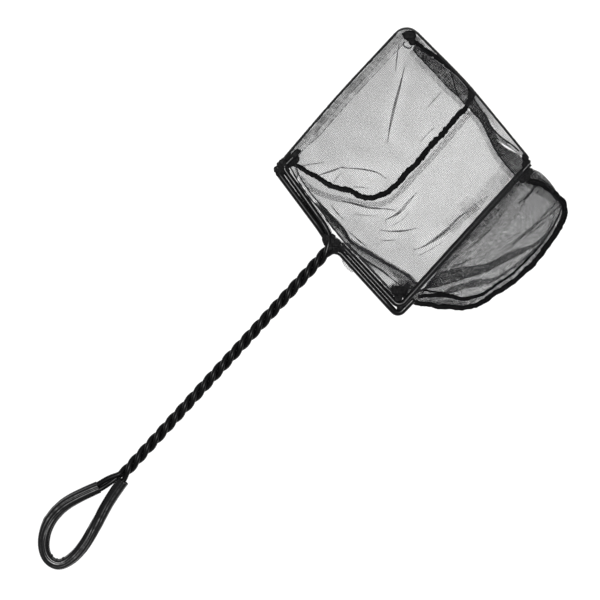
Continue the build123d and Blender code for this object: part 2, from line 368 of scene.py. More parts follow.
def pinch(p, points, take, reach=3.6):
    """Gathers a net's knots towards a line that is given as the camera sees it, as a small fold does. Gives the rise."""
    mid = seen([(x, y, 6.0) for x, y in points])
    line = spline(mid, 36)[:, :2] if len(mid) > 2 else even_line(mid, 24)[:, :2]
    lo, hi = line.min(0) - 3 * reach, line.max(0) + 3 * reach
    near = ((p > lo) & (p < hi)).all(-1)
    q = p[near]
    best, where, to = np.full(len(q), 1e9), np.zeros(len(q)), np.zeros_like(q)
    for i in range(len(line) - 1):
        a, d = line[i], line[i + 1] - line[i]
        t = np.clip(((q - a) @ d) / (d @ d), 0, 1)
        gap = a + t[:, None] * d - q
        size = np.linalg.norm(gap, axis=1)
        closer = size < best
        best[closer], where[closer], to[closer] = size[closer], ((i + t) / (len(line) - 1))[closer], gap[closer]
    fade = np.sqrt(np.clip(np.sin(math.pi * where), 0, 1))
    p[near] = q + unit(to) * (take * fade * np.tanh(best / 0.9) * np.exp(-(best / reach)**2))[:, None]
    rise = np.zeros(p.shape[:-1])
    rise[near] = 0.7 * take * fade * np.exp(-(best / 1.2)**2)
    return rise


def laid_net(heap, s, turn, folds=(), pitch=PITCH, radius=THREAD, hole=None, sway=0.3, seed=1, cell=0.6):
    """A net whose threads run straight as seen from above, laid on a surface that never doubles back and cut at its edges."""
    flat = s.reshape(-1, 3)
    lo = flat[:, :2].min(0) - 14 * cell
    size = np.ceil((flat[:, :2].max(0) + 14 * cell - lo) / cell).astype(int) + 1
    at = np.rint((flat[:, :2] - lo) / cell).astype(int)
    at = at[:, 0] * size[1] + at[:, 1]
    count = np.bincount(at, minlength=size[0] * size[1]).reshape(size)
    height = np.bincount(at, flat[:, 2], size[0] * size[1]).reshape(size) / np.maximum(count, 1)
    inside = ~grown(grown(~grown(grown(count > 0))))
    known = count > 0
    for _ in range(12):   # carries the heights on past the edges
        total, n = np.zeros(size), np.zeros(size)
        for axis, step in ((0, 1), (0, -1), (1, 1), (1, -1)):
            total += np.roll(np.where(known, height, 0.0), step, axis)
            n += np.roll(known, step, axis)
        fresh = ~known & (n > 0)
        height[fresh] = (total / np.maximum(n, 1))[fresh]
        known |= fresh
    d1 = np.array([math.cos(turn), math.sin(turn)])
    d2 = np.array([-d1[1], d1[0]])
    a, b = flat[:, :2] @ d1, flat[:, :2] @ d2
    p = np.arange(a.min() - 3, a.max() + 3, pitch)[:, None, None] * d1 + np.arange(b.min() - 3, b.max() + 3, pitch)[None, :, None] * d2
    r = np.random.default_rng(seed)
    still = p.copy()
    for _ in range(6):
        q, f, ph = r.uniform(0, 2 * math.pi), 2 * math.pi / r.uniform(14, 34), r.uniform(0, 2 * math.pi)
        wave = np.sin(f * (still[..., 0] * math.cos(q) + still[..., 1] * math.sin(q)) + ph)
        p += sway * wave[..., None] * np.array([math.cos(q + 1.2), math.sin(q + 1.2)])
    p += r.normal(0, 0.05, p.shape)
    rise = np.zeros(p.shape[:2])
    for points, take in folds:
        rise += pinch(p, points, 1.6 * take)
    g = (p - lo) / cell
    i = np.clip(g.astype(int), 0, size - 2)
    f = np.clip(g - i, 0, 1)
    x, y = i[..., 0], i[..., 1]
    fx, fy = f[..., 0], f[..., 1]
    z = ((1 - fx) * (1 - fy) * height[x, y] + fx * (1 - fy) * height[x + 1, y] + (1 - fx) * fy * height[x, y + 1] + fx * fy * height[x + 1, y + 1])
    near = np.clip(np.rint(g).astype(int), 0, size - 1)
    live = inside[near[..., 0], near[..., 1]]
    c = np.concatenate([p, (z + rise)[..., None]], -1)
    weave(heap, c, normals(c), radius, live, hole, True)


def area_of(s):
    a, b = s[1:, 1:] - s[:-1, :-1], s[1:, :-1] - s[:-1, 1:]
    return float(np.linalg.norm(np.cross(a, b), axis=2).sum() / 2)


def ribbon(heap, path, width, thick, seed, sway=0.25, ragged=0.15, sides=14):
    """A bound seam: a narrow folded tape with slightly ragged edges, flat side up."""
    k = len(path)
    t = unit(np.gradient(path, axis=0))
    side = unit(np.cross(t, np.array([0.0, 0.0, 1.0])))
    up = np.cross(side, t)
    path = path + side * (sway * soft_noise(k, 7, seed))[:, None] + up * (0.12 * np.abs(soft_noise(k, 4, seed + 1)))[:, None]
    w = np.broadcast_to(np.asarray(width, float), (k,)) / 2
    left = w * (1 + ragged * soft_noise(k, 3.1, seed + 2) + 0.5 * ragged * soft_noise(k, 1.3, seed + 3))
    right = w * (1 + ragged * soft_noise(k, 2.7, seed + 4) + 0.5 * ragged * soft_noise(k, 1.2, seed + 5))
    angle = np.arange(sides) * 2 * math.pi / sides
    c, s_ = np.cos(angle), np.sin(angle)
    x = np.sign(c) * np.abs(c)**0.55
    z = np.sign(s_) * np.abs(s_)**0.75
    groove = np.where(z > 0, -0.22 * np.exp(-(x / 0.22)**2), 0.0)   # where the tape is stitched down
    thick = np.broadcast_to(np.asarray(thick, float), (k,))
    across = np.where(x[None] < 0, left[:, None], right[:, None]) * x[None]
    high = (z + groove)[None] * thick[:, None] / 2 * (1 + 0.16 * soft_noise(k, 2.3, seed + 6))[:, None]
    verts = path[:, None] + side[:, None] * across[..., None] + up[:, None] * high[..., None]
    quads, caps = ring_faces(1, k, sides)
    run = knots_of(path)
    uv = np.stack([np.broadcast_to(run[:, None], (k, sides)), np.broadcast_to(np.arange(sides)[None] * 0.7, (k, sides))], -1)
    heap.add(verts, quads, caps, uv)


def stitches(heap, path, gap=2.7, length=1.9, radius=0.13, lift=0.1, sway=0.15, seed=3):
    """Short thread stitches laid along a line."""
    total = knots_of(path)[-1]
    n = max(2, int(total / gap))
    r = np.random.default_rng(seed)
    fine = even_line(path, n * 8 + 1)
    t = unit(np.gradient(fine, axis=0))
    side = unit(np.cross(t, np.array([0.0, 0.0, 1.0])))
    up = np.cross(side, t)
    rise = np.array([-0.35, 0.5, 1.0, 0.5, -0.35])
    lines, ups = [], []
    for i in range(n):
        at = i * 8 + 4
        reach = np.linspace(-0.5, 0.5, 5) * length * r.uniform(0.85, 1.1)
        lines.append(fine[at] + reach[:, None] * t[at] + (lift * rise)[:, None] * up[at] + r.normal(0, sway, 1) * side[at])
        ups.append(np.repeat(up[at][None], 5, 0))
    verts, quads, caps = tubes(np.array(lines), np.array(ups), np.array([0.7, 1, 1, 1, 0.7])[None] * radius, 5)
    heap.add(verts, quads, caps)


def noise3(p, seed):
    """Smooth lumpy numbers over space, about -1 to 1."""
    r = np.random.default_rng(seed)
    out = np.zeros(len(p))
    for k in range(10):
        d = unit(r.normal(size=3)) * r.uniform(0.7, 1.6)
        out += np.sin(p @ d * 2.4 + r.uniform(0, 6.3) + 0.9 * np.sin(p @ unit(r.normal(size=3)) * 2.1))
    return out / 4.0


def lump(heap, middle, size, turn, seed):
    """A bunched end of tape stitched down with a few turns of thread."""
    rows, cols = 28, 40
    th = np.linspace(0, math.pi, rows)[:, None]
    ph = np.arange(cols)[None] * 2 * math.pi / cols
    ball = np.stack([np.sin(th) * np.cos(ph), np.sin(th) * np.sin(ph), np.cos(th) + 0 * ph], -1).reshape(-1, 3)
    folds = noise3(ball * 2.3, seed)
    rough = 1 + 0.20 * noise3(ball * 1.1, seed + 1) + 0.13 * (1 - np.abs(folds) * 2) + 0.05 * noise3(ball * 6.0, seed + 2)
    p = np.sign(ball) * np.abs(ball)**0.8 * rough[:, None] * np.asarray(size) / 2
    c, s = math.cos(turn), math.sin(turn)
    spin = np.array([[c, -s, 0], [s, c, 0], [0, 0, 1.0]])
    p = p @ spin.T + middle
    i = (np.arange(rows - 1) * cols)[:, None]
    a, b = np.arange(cols)[None], (np.arange(cols) + 1)[None] % cols
    heap.add(p, np.stack([i + a, i + cols + a, i + cols + b, i + b], -1).reshape(-1, 4))
    r = np.random.default_rng(seed + 5)
    loops, ups = [], []
    q = np.linspace(0, 2 * math.pi, 30)
    for k in range(7):
        x = (k - 3) * 0.21 + r.normal(0, 0.05)
        ring = np.stack([np.full_like(q, x) + 0.07 * np.sin(q + r.uniform(0, 6)), np.cos(q), np.sin(q)], 1)
        ring[:, 1:] *= math.sqrt(max(0.2, 1 - x * x)) * 1.07
        loops.append((ring * np.asarray(size) / 2) @ spin.T + middle)
        ups.append(np.repeat((spin @ np.array([1.0, 0, 0]))[None], len(q), 0))
    verts, quads, caps = tubes(np.array(loops), np.array(ups), 0.19, 6)
    heap.add(verts, quads, caps)


# ---- materials ----------------------------------------------------------------------------------


def material(name, dark, light, rough, bump=0.2, grain=900.0, patch=60.0, specular=0.4, sheen=0.0, coat=0.0, weave=None):
    """A procedural finish: two mottled tones, uneven gloss, and a fine bump."""
    mat = bpy.data.materials.new(name)
    mat.use_nodes = True
    nt = mat.node_tree
    shader = nt.nodes["Principled BSDF"]
    shader.inputs["Specular IOR Level"].default_value = specular
    shader.inputs["Sheen Weight"].default_value = sheen
    shader.inputs["Sheen Roughness"].default_value = 0.5
    shader.inputs["Coat Weight"].default_value = coat
    shader.inputs["Coat Roughness"].default_value = 0.18
    coord = nt.nodes.new("ShaderNodeTexCoord")
    broad, fine = nt.nodes.new("ShaderNodeTexNoise"), nt.nodes.new("ShaderNodeTexNoise")
    broad.inputs["Scale"].default_value, broad.inputs["Detail"].default_value = patch, 5.0
    fine.inputs["Scale"].default_value, fine.inputs["Detail"].default_value = grain, 3.0
    for n in (broad, fine):
        nt.links.new(coord.outputs["Object"], n.inputs["Vector"])
    ramp = nt.nodes.new("ShaderNodeValToRGB")
    ramp.color_ramp.elements[0].position, ramp.color_ramp.elements[1].position = 0.3, 0.72
    ramp.color_ramp.elements[0].color, ramp.color_ramp.elements[1].color = (*dark, 1), (*light, 1)
    nt.links.new(broad.outputs["Fac"], ramp.inputs["Fac"])
    nt.links.new(ramp.outputs["Color"], shader.inputs["Base Color"])
    gloss = nt.nodes.new("ShaderNodeMapRange")
    gloss.inputs["From Min"].default_value, gloss.inputs["From Max"].default_value = 0.3, 0.7
    gloss.inputs["To Min"].default_value, gloss.inputs["To Max"].default_value = rough
    nt.links.new(fine.outputs["Fac"], gloss.inputs["Value"])
    nt.links.new(gloss.outputs["Result"], shader.inputs["Roughness"])
    raise_by = nt.nodes.new("ShaderNodeBump")
    raise_by.inputs["Strength"].default_value = bump
    raise_by.inputs["Distance"].default_value = 0.0002
    height = fine.outputs["Fac"]
    if weave:
        uv = nt.nodes.new("ShaderNodeUVMap")
        uv.uv_map = weave[0]
        ribs = nt.nodes.new("ShaderNodeTexWave")
        ribs.wave_type, ribs.bands_direction = "BANDS", "DIAGONAL"
        ribs.inputs["Scale"].default_value = weave[1]
        ribs.inputs["Distortion"].default_value = 1.2
        ribs.inputs["Detail"].default_value = 2.0
        nt.links.new(uv.outputs["UV"], ribs.inputs["Vector"])
        both = nt.nodes.new("ShaderNodeMath")
        both.operation = "ADD"
        nt.links.new(ribs.outputs["Fac"], both.inputs[0])
        nt.links.new(fine.outputs["Fac"], both.inputs[1])
        height = both.outputs["Value"]
    nt.links.new(height, raise_by.inputs["Height"])
    nt.links.new(raise_by.outputs["Normal"], shader.inputs["Normal"])
    return mat


WIRE = material("black_dipped_wire", (0.0015, 0.0015, 0.0017), (0.003, 0.003, 0.0034), (0.33, 0.42), 0.20, 700, 90, 0.14)
COAT = material("black_dipped_coat", (0.002, 0.002, 0.0022), (0.005, 0.005, 0.0055), (0.24, 0.34), 0.20, 700, 90, 0.17)
SPRING = material("black_spring_wire", (0.005, 0.005, 0.0055), (0.011, 0.011, 0.012), (0.34, 0.48), 0.15, 900, 120, 0.2)
VINYL = material("black_vinyl_sleeve", (0.002, 0.002, 0.0022), (0.005, 0.005, 0.0055), (0.22, 0.34), 0.16, 500, 70, 0.36)
MESH = material("black_nylon_mesh", (0.008, 0.008, 0.009), (0.020, 0.020, 0.022), (0.5, 0.7), 0.25, 2600, 160, 0.2)
TAPE = material("black_binding_tape", (0.002, 0.002, 0.0022), (0.007, 0.007, 0.0075), (0.65, 0.85), 0.6, 2400, 240, 0.08, weave=("Weave", 2.6))
STITCH = material("black_sewing_thread", (0.002, 0.002, 0.0022), (0.008, 0.008, 0.0085), (0.5, 0.7), 0.4, 3000, 300, 0.14)

# ---- camera, floor and light --------------------------------------------------------------------
scene = bpy.context.scene
scene.view_settings.view_transform = "Standard"
cam = bpy.data.objects.new("camera", bpy.data.cameras.new("camera"))
scene.collection.objects.link(cam)
cam.data.sensor_width = 36.0
cam.data.lens = 36.0 * (CAM_H - REF_Z) / (600 * MM_PER_PIXEL)
cam.data.clip_start, cam.data.clip_end = 0.1, 30.0
cam.location = (MIDDLE[0] / 1000, MIDDLE[1] / 1000, CAM_H / 1000)
cam.rotation_euler = (0, 0, math.atan2(-SIN, COS))
scene.camera = cam

white = bpy.data.materials.new("pale_floor")
white.use_nodes = True
white.node_tree.nodes["Principled BSDF"].inputs["Base Color"].default_value = (0.93, 0.93, 0.93, 1)
white.node_tree.nodes["Principled BSDF"].inputs["Roughness"].default_value = 0.9
white.node_tree.nodes["Principled BSDF"].inputs["Specular IOR Level"].default_value = 0.1
floor_mesh = bpy.data.meshes.new("floor")
floor_mesh.from_pydata([(-15, -15, -0.0002), (15, -15, -0.0002), (15, 15, -0.0002), (-15, 15, -0.0002)], [], [(0, 1, 2, 3)])
floor_mesh.materials.append(white)
floor = bpy.data.objects.new("floor", floor_mesh)
scene.collection.objects.link(floor)

world = bpy.data.worlds.new("studio")
scene.world = world
world.use_nodes = True
world.node_tree.nodes["Background"].inputs["Color"].default_value = (1, 1, 1, 1)
world.node_tree.nodes["Background"].inputs["Strength"].default_value = 0.30


def softbox(name, place, aim, size, power):
    light = bpy.data.lights.new(name, "AREA")
    light.shape, light.size, light.energy = "DISK", size, power
    ob = bpy.data.objects.new(name, light)
    scene.collection.objects.link(ob)
    ob.location = place
    from mathutils import Vector
    ob.rotation_euler = (Vector(aim) - Vector(place)).to_track_quat("-Z", "Y").to_euler()
    ob.visible_camera = False


softbox("key_light", (MIDDLE[0] / 1000, MIDDLE[1] / 1000, CAM_H / 1000), (MIDDLE[0] / 1000, MIDDLE[1] / 1000, 0.0), 0.08, 162.0)

# ---- bag: seam lines ----------------------------------------------------------------------------
# The left seam runs from the left corner of the hoop down to the table, along the bag's floor and up
# to the far corner; the right seam does the same from the near corner to the right one.
LEFT_NEAR = [(293, 162.5, 19.6), (300, 167.5, 18), (310, 173.2, 15.6), (320, 179, 13.2), (330, 185.2, 10.6), (341, 188.3, 7.6),
             (351, 190.8, 4.6), (357.5, 194.8, 2.6), (365, 197.4, 1.2)]
LEFT_FLOOR = [(365, 197.4, 1.2), (373.4, 197.2, 0.95), (384, 193.6, 0.9), (395, 186, 0.9), (406, 173.6, 0.9), (420, 159.6, 0.9),
              (428.7, 148.2, 0.9), (443.6, 132.4, 0.9), (455, 118.8, 0.9), (466.6, 106.4, 1.0)]
LEFT_FAR = [(466.6, 106.4, 1.0), (469.6, 101, 2.0), (471.0, 96.0, 3.6), (470.8, 92.0, 5.2), (467.2, 86.4, 7.6), (459.7, 77.4, 12), (450, 69, 17),
            (437, 57.8, 22), (424, 49.2, 25.4), (415.5, 42, 26.6), (411, 39.6, 26.8)]
RIGHT_NEAR = [(400.5, 290.5, 18.6), (407.5, 298.8, 16.8), (418, 303, 14.2), (428, 304.4, 11.4), (437, 306.2, 8.6), (448, 306.6, 5.4),
              (455, 307.7, 3.2), (462.5, 308.4, 1.6)]
RIGHT_FLOOR = [(462.5, 308.4, 1.6), (472.5, 306.2, 1.0), (483.7, 301.7, 0.9), (494.9, 293.2, 0.9), (509.4, 284.8, 0.9), (520.5, 275, 0.9),
               (534, 262.6, 0.9), (544, 249.2, 0.9), (554, 235.6, 0.9), (561.8, 222.4, 1.0), (565, 212.4, 1.3)]
RIGHT_FAR = [(565, 212.4, 1.3), (563.4, 204, 3.4), (558.6, 198, 6), (554.6, 193.4, 9), (547.6, 187.6, 13.6), (539.4, 183, 18.4),
             (531, 181.2, 22.2), (524.5, 178.5, 24.6)]

# ---- left panel ---------------------------------------------------------------------------------
LP_N, LP_M = 290, 180
left_top = spline(np.concatenate([seen([LEFT_NEAR[0]]), below([(26, 61.2, 0.8), (50, 62.3, 0.8), (78, 62.9, 0.8), (108, 62.6, 0.8), (130, 62.4, 0.8), (136.5, 62.0, 0.8), (141.2, 60.4, 0.9), (142.6, 57.0, 1.0)]),
                                  seen([LEFT_FAR[-1]])]), LP_N)
left_s = coons(left_top, spline(seen(LEFT_FLOOR), LP_N), spline(seen(LEFT_NEAR), LP_M), spline(seen(LEFT_FAR[::-1]), LP_M))
u = np.linspace(0, 1, LP_N)[None]
v = np.linspace(0, 1, LP_M)[:, None]
hang = np.sin(math.pi * v**0.9) * np.sin(math.pi * u)
left_s[..., 2] -= 3.0 * hang
left_s[..., 2] += waves(left_s, 0.55, 34.0, 21) * hang
left_s[..., 2] = np.maximum(left_s[..., 2], 0.9)
left_folds = [
    ([(404.5, 67), (399.5, 87), (395, 104), (390.5, 124), (387, 144)], 1.5),
    ([(398.5, 44), (396.5, 58), (395, 73)], 0.9),
    ([(301, 166.5), (312, 164.5), (324, 162.8)], 0.7),
    ([(316, 176.5), (331, 171.3), (343.5, 166.6)], 1.2),
    ([(341, 168), (352, 168.6), (366, 169.9), (378, 173), (387, 179)], 1.1),
    ([(333, 184), (338, 176.5), (343, 172.5)], 0.5),
    ([(353, 186.8), (361, 187.2), (369, 188.6)], 0.8),
    ([(442.5, 91), (435, 99), (426, 109)], 0.5),
    ([(435, 126.5), (427, 134.5), (420, 142.5)], 0.6)]
left_s = even(left_s)

# ---- centre strip: near wall, floor and far wall in one ------------------------------------------
CS_N, CS_M = 320, 420
near_top = [(23.2, 52.6, 1.2), (21.0, 49, 0.3), (17.4, 37.5, 0.2), (15.8, 28, 0.2), (15.4, 18, 0.2), (14.0, 9, 0.2), (13.2, -0.5, 0.2), (10.8, -7.2, 0.2),
            (11.4, -13.5, 0.2), (12.9, -20.1, 0.2), (15.2, -32.2, 0.2), (17.9, -45.3, 0.2), (19.4, -54, 0.3), (19.0, -59, 1.2)]
far_foot = seen([(466.8, 107, 1.2), (474, 114.5, 1.4), (482.7, 123.5, 1.6), (487.5, 135, 1.7), (495.3, 149.7, 1.8), (503.3, 161.2, 1.8),
                 (514.8, 175, 1.8), (530, 188.5, 1.6), (548, 200.5, 1.5), (563.5, 210.5, 1.4)])
bed_s = loft([spline(r, CS_N) for r in (
    below([(x - 1.8, y, b + 0.5) for x, y, b in near_top]),
    below(near_top),
    seen([(310, 173.2, 15.6), (318, 181.5, 16.8), (332, 196.5, 17.8), (348, 215, 18.4), (364, 234.5, 18.4), (380, 255.5, 18.0), (396, 277.5, 17.0), (407, 293, 16.0),
          (414, 302, 15.2)]),
    seen([(332, 185.8, 10.0), (352, 193.5, 11.4), (372, 206, 12.2), (390, 224, 12.6), (405, 247, 12.4), (418, 273, 11.4), (429, 296, 9.8), (437, 306, 8.6)]),
    seen([(366, 198, 1.1), (392, 204, 5.0), (412, 213, 6.8), (428, 230, 7.4), (440, 253, 6.8), (452, 281, 4.6), (461.5, 307.6, 1.6)]),
    seen([(384, 193.6, 0.95), (412, 202, 3.6), (436, 216, 5.0), (452, 236, 5.2), (464, 260, 4.4), (474, 284, 2.6), (483.7, 301.7, 0.9)]),
    seen([(402, 178.4, 0.9), (430, 203, 2.8), (456, 233, 3.4), (480, 264, 2.4), (499, 290, 0.9)]),
    seen([(432, 144.6, 0.9), (456, 172, 1.0), (482, 204, 1.1), (507, 234, 1.0), (532, 264, 0.9)]),
    seen([(452, 123, 0.95), (474, 146, 1.1), (497, 178, 1.2), (523, 211, 1.2), (552, 236, 0.9)]),
    far_foot)], CS_M)
bed_s = even(bed_s, 1)
lie = np.exp(-((bed_s[..., 2] - 1.0) / 3.0)**2)
t = np.linspace(0, 1, CS_N)[None]
bed_s[..., 2] += (0.9 + waves(bed_s, 0.8, 40.0, 33)) * lie * np.sin(math.pi * t)**0.6
bed_s[..., 2] += waves(bed_s, 0.5, 26.0, 35) * (1 - lie) * np.clip(np.sin(math.pi * t), 0, 1)
bed_s[..., 2] = np.maximum(bed_s[..., 2], 0.8)
bed_s = even(bed_s)
bed_folds = [
    ([(341, 201.2), (352.8, 203.6), (368, 207.6), (382, 208.8), (396, 209.4)], 1.3),
    ([(384.5, 220.6), (399.4, 212), (408, 202.3), (417, 192.2)], 1.5),
    ([(379, 230.2), (390, 231.4), (400, 231.4), (418, 228)], 1.2),
    ([(413, 250), (422, 246.8), (434, 239.2), (447, 229.4), (460, 216.4), (472, 209.6)], 1.5),
    ([(418, 256), (432, 248.6), (444, 241.2)], 0.7),
    ([(331, 205.5), (337, 213), (344, 220.5)], 0.9),
    ([(349.5, 232.5), (357, 239.5), (366, 246.5)], 1.0),
    ([(318, 199), (327, 213.5), (336, 223)], 0.7),
    ([(390, 226.5), (401, 220.6), (410, 211)], 0.6),
    ([(380, 240.2), (388, 240.5), (396, 240)], 0.5),
    ([(352, 213.4), (366, 215.6), (380, 216)], 0.4)]

wall_rows = [
    far_foot,
    seen([(470, 103, 11), (478, 110, 11), (487, 121, 11), (491.5, 131, 11), (498, 143, 11.5), (506, 153, 12), (516, 163, 12.4), (530, 174, 12.8),
          (546, 182.5, 11), (555, 193.8, 8.8)]),
    seen([(474, 98, 26.6), (478, 104, 27), (487, 116.5, 27), (492, 126, 27), (500, 136.5, 27), (510, 146, 26.8), (520, 156, 26), (528.5, 166, 24.4),
          (536.5, 174.5, 21.4), (540, 182.5, 18.4)]),
]
wall_s = even(loft([spline(r, 260) for r in wall_rows], 160))
wall_s[..., 2] += waves(wall_s, 0.4, 22.0, 36)
# the corner of the far wall beside the seam's tape
wing = np.stack([(1 - k) * spline(seen([(472.5, 93.5, 5), (465, 83.5, 9), (457, 75, 13), (447, 65.4, 18.6), (437, 55.6, 22.4), (427, 48.6, 25), (417.5, 42.5, 26.4), (412, 37, 27)]), 400)
                 + k * spline(below([(140.6, -5, 0.9), (142.2, 8, 0.9), (143.3, 24, 0.9), (143.9, 38, 0.9), (144.2, 50, 0.9), (144.0, 56, 0.9), (141.6, 60.4, 0.9)]), 400)
                 for k in np.linspace(0, 1, 24)])

# ---- right panel: slack, with two folds laid over themselves -------------------------------------
RP_N, RP_M = 300, 220
rp_rows = [
    np.concatenate([seen([RIGHT_NEAR[0]]), below([(12.5, -62.4, 3.0), (17, -65.0, 1.5), (40, -64.7, 1.0), (70, -64.7, 1.0), (100, -64.7, 1.0), (119, -64.9, 1.2)]),
                    seen([RIGHT_FAR[-1]])]),
    seen([(418, 303, 14.2), (421, 294, 14), (427, 287.5, 13.5), (437, 286, 12.6), (453.6, 281.9, 11.6), (472.5, 276.2, 10.6), (487, 271.6, 10),
          (503.8, 262.9, 9.6), (520, 255, 9.2), (530, 249.5, 9), (540.6, 242.2, 8.8), (549, 230, 8.8), (553.5, 215, 9.2), (554.5, 203, 9.6), (551.5, 190.8, 11.2)]),
    seen([(424, 304, 12.6), (424, 292, 12), (428, 281, 11.2), (434, 275.2, 10.6), (444.6, 270.6, 9.8), (461.4, 267, 9), (478, 264.5, 8.4), (487, 262.7, 8.2),
          (496, 259.3, 8), (511.6, 250.6, 7.8), (528.3, 245.8, 7.7), (541.7, 238, 7.6), (549.5, 227, 7.7), (554.5, 213, 8), (556.2, 203, 8.4), (553.5, 192.5, 9.8)]),
    seen([(437, 306.2, 8.6), (438, 299, 8.3), (445, 295.4, 7.8), (453.6, 292.8, 7.2), (467, 288.4, 6.5), (483.7, 285.8, 5.8), (492.6, 282, 5.4),
          (506, 273.6, 5), (520, 263.5, 4.8), (532, 253.5, 4.7), (545, 240, 4.6), (554, 226, 4.6), (559.5, 213, 4.8), (560.5, 205, 5), (559.5, 199, 5.4)]),
    seen([(443, 306.4, 7), (442, 297, 6.6), (445, 290.5, 6.1), (449.5, 288, 5.7), (462.5, 284, 5), (478, 279.6, 4.4), (492.6, 278.1, 4), (505, 271.5, 3.7),
          (519, 261.5, 3.5), (531, 251.5, 3.4), (545, 238.5, 3.3), (554.5, 224.5, 3.3), (560.5, 212, 3.4), (562, 205.5, 3.6), (561.5, 201.4, 4.2)]),
    seen(RIGHT_FLOOR),
]
right_s = loft([spline(r, RP_N) for r in rp_rows], RP_M)
right_s = even(right_s, 1)
t = np.linspace(0, 1, RP_N)[None]
high = np.clip((right_s[..., 2] - 6) / 14, 0, 1)
right_s[..., 2] += waves(right_s, 0.7, 30.0, 41) * np.sin(math.pi * t) * high
right_s[..., 2] -= 2.2 * np.sin(math.pi * t) * np.sin(math.pi * np.clip((right_s[..., 2] - 9) / 15, 0, 1))
for line, height, width in (
        ([(506, 251.5), (517, 240), (534, 225.8), (545, 213.6), (556, 201)], 2.0, 0.6),
        ([(518, 203.5), (529.5, 192.4), (534.5, 185.5)], 1.8, 0.6),
        ([(538, 222.5), (550, 213), (560, 205)], 1.4, 0.55),
        ([(446, 269), (459, 263.5), (472, 257.5)], 1.4, 0.6),
        ([(452, 258), (470, 246), (492, 226)], 1.0, 0.8),
        ([(523, 238), (536, 228), (548, 219)], 1.1, 0.6)):
    crease(right_s, line, 1.7 * height, width)
right_s = even(right_s)


def in_slit(p):
    """A short gap between two lengths of the far hem's stitching."""
    line = spline(seen([(495.6, 138.6, 20), (501, 143.2, 20), (506.5, 147, 20), (512, 150.4, 20), (517, 153.4, 20)]), 24)[:, :2]
    gap = np.full(p.shape[:-1], 1e9)
    for k, (a, b) in enumerate(zip(line[:-1], line[1:])):
        d = b - a
        t = np.clip(((p[..., :2] - a) @ d) / (d @ d), 0, 1)
        wide = 0.5 * np.sin(math.pi * (k + t) / 23)**0.8
        gap = np.minimum(gap, np.linalg.norm(p[..., :2] - a - t[..., None] * d, axis=-1) - wide)
    return (gap < 0) & (p[..., 2] > 3.0)


def on_bed(points, lift=0.5):
    """Points just above the near wall and floor, the places as the camera sees them."""
    p = seen([(x, y, 4.0) for x, y in points])
    flat = bed_s.reshape(-1, 3)
    for q in p:
        q[2] = flat[np.argmin(((flat[:, :2] - q[:2])**2).sum(1)), 2] + lift
    return p


def grained(s, size, fine, seed):
    """The same surface with its threads pushed about a little in it, as in worn, slack cloth."""
    tu, tv = unit(np.gradient(s, axis=0)), unit(np.gradient(s, axis=1))
    push = [noise3(s.reshape(-1, 3) * fine, seed + k).reshape(s.shape[:2])[..., None] for k in (0, 1)]
    return s + size * (push[0] * tu + push[1] * tv)


def panel(name, parts):
    heap = Heap()
    for lay, s, options in parts:
        lay(heap, s, **options)
    ob = heap.piece(name, MESH, "OFBake")
    print(name, "area", round(sum(area_of(s) for _, s, _ in parts)), "mm2, faces", len(ob.data.polygons))
    return ob


# A doubled strip of net along the crease near the rail, laid there as painted shade: it darkens the floor where the
# crease's shade falls.
shade_fold_net = np.stack([(1 - k) * spline(on_bed([(432, 242), (450, 226.2), (464, 212.8), (477, 203), (487, 196)]), 160)
                      + k * spline(on_bed([(432.6, 242.6), (454.4, 229), (469, 216.6), (481, 206.4), (487.6, 196.6)]), 160) for k in np.linspace(0, 1, 6)])
left_panel = panel("left_panel_net", [(laid_net, left_s, dict(turn=0.03, folds=left_folds, pitch=0.79, seed=3))])
centre_strip = panel("centre_strip_net", [(laid_net, bed_s, dict(turn=-0.05, folds=bed_folds, seed=4)), (laid_net, wall_s, dict(turn=0.1, hole=in_slit, pitch=0.46, seed=5)), (laid_net, wing, dict(turn=0.0, seed=6)), (net, shade_fold_net, dict(pitch=1.2))])
right_panel = panel("right_panel_net", [(net, grained(right_s, 0.42, 0.75, 45), dict(pitch=1.05, radius=0.154, spread=False))])

# ---- hems and seam allowances -------------------------------------------------------------------


def laid_on(s, rows, cols, off):
    """Part of a surface, moved off it by a little."""
    m, n = s.shape[:2]
    r0, r1, c0, c1 = (int(round(x)) for x in (rows[0] * (m - 1), rows[1] * (m - 1), cols[0] * (n - 1), cols[1] * (n - 1)))
    return (s + normals(s) * off)[r0:r1 + 1, c0:c1 + 1]


def strip(a, b, n, rows=8):
    a, b = spline(a, n), spline(b, n)
    t = np.linspace(0, 1, rows)[:, None, None]
    return (1 - t) * a[None] + t * b[None]


def ruffle(s, size, length, seed):
    """Lets a strip's free edge wave up and down."""
    k = np.linspace(0, 1, s.shape[0])[:, None]
    s = s.copy()
    s[..., 2] += size * k * soft_noise(s.shape[1], length, seed)[None]
    return s


def rail_px(x, off):
    """The pixel of a place beside the rail, x along it and off towards the bag's floor."""
    y = 66.35 - off
    return 327 + (0.671 * x + 0.7415 * y) / 0.676, 241 + (-0.7415 * x + 0.671 * y) / 0.676


def sleeve_round(path, radius, turns=13):
    t = unit(np.gradient(path, axis=0))
    side = unit(np.cross(t, np.array([0.0, 0.0, 1.0])))
    up = np.cross(side, t)
    q = np.linspace(0, 2 * math.pi, turns)[:, None, None]
    return path[None] + radius * (np.cos(q) * side[None] + np.sin(q) * up[None])


left_wire = lifted([(23.0, 62.6, 0), (50, 63.35, 0), (66, 63.75, 0), (78, 63.9, 0), (92, 63.85, 0), (108, 63.6, 0), (134.5, 63.17, 0)])
far_wire = lifted([(144.72, 52.8, 0), (144.1, 40, 0), (143.45, 26, 0), (142.25, 8, 0), (140.4, -7, 0), (137.6, -26, 0), (135.0, -43.4, 0), (133.0, -56.7, 0)])



